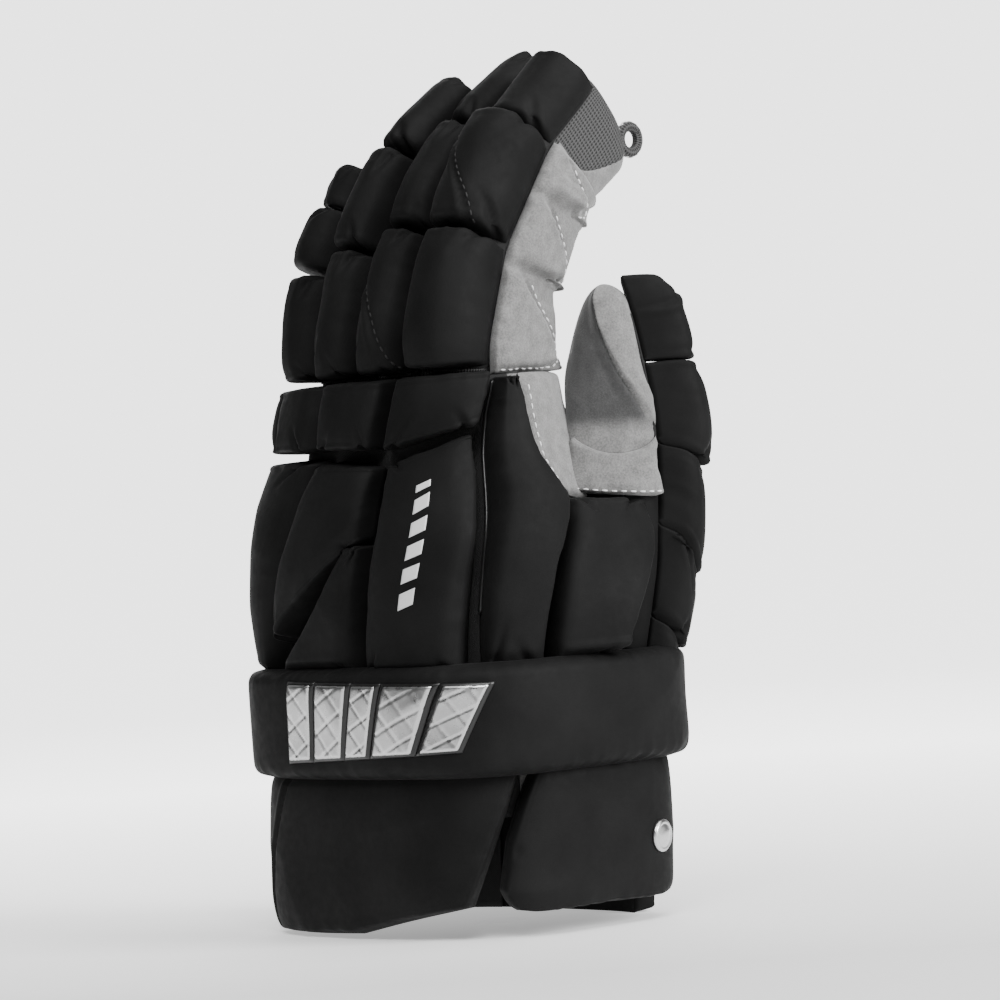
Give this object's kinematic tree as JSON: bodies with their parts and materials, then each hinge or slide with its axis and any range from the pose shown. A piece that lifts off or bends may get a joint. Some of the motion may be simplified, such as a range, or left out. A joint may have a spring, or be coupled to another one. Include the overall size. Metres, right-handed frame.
{
  "type": "lacrosse glove",
  "caption": "Padded left-hand lacrosse glove with rolled wrist band, floating cuff panels and suede palm, standing on its cuff with the fingers half closed.",
  "frame": {"origin": "centre of the glove's footprint, on the plane the cuff rim stands on", "axes": "+Z from the cuff towards the fingers, +X towards the thumb, +Y towards the palm side"},
  "size_m": [0.1626, 0.1514, 0.333],
  "materials": {
    "shell": "matte black synthetic over foam",
    "cloth": "matte black inner cloth",
    "suede": "grey brushed suede",
    "mesh": "grey knitted mesh",
    "metal": "satin"
  },
  "bodies": {
    "root": {"back_middle": "shell", "back_outer": "shell", "back_plate": "shell", "back_wedge": "shell", "badge_plate": "metal", "cuff_back": "shell", "cuff_little_side": "shell", "cuff_palm": "shell", "cuff_snap": "metal", "cuff_thumb_side": "shell", "finger_web": "cloth", "hand_back": "cloth", "index_mesh": "mesh", "index_pad_1": "shell", "index_pad_2": "shell", "index_pad_3": "shell", "index_palm_strip": "suede", "index_pull_loop": "mesh", "index_side_pad_1": "suede", "index_side_pad_2": "suede", "index_side_pad_3": "suede", "index_web": "suede", "knuckle_index": "shell", "knuckle_little": "shell", "knuckle_middle": "shell", "knuckle_ring": "shell", "little_mesh": "mesh", "little_pad_1": "shell", "little_pad_2": "shell", "little_pad_3": "shell", "little_palm_strip": "suede", "middle_mesh": "mesh", "middle_pad_1": "shell", "middle_pad_2": "shell", "middle_pad_3": "shell", "middle_palm_strip": "suede", "palm": "suede", "ring_mesh": "mesh", "ring_pad_1": "shell", "ring_pad_2": "shell", "ring_pad_3": "shell", "ring_palm_strip": "suede", "side_front": "shell", "side_outer": "shell", "side_rear": "shell", "thumb_back": "cloth", "thumb_hem": "suede", "thumb_pad_1": "shell", "thumb_pad_2": "shell", "thumb_pad_3": "shell", "thumb_pad_4": "shell", "thumb_pad_5": "shell", "thumb_suede": "suede", "wrist_band": "shell", "wrist_palm": "cloth"}
  },
  "joints": []
}
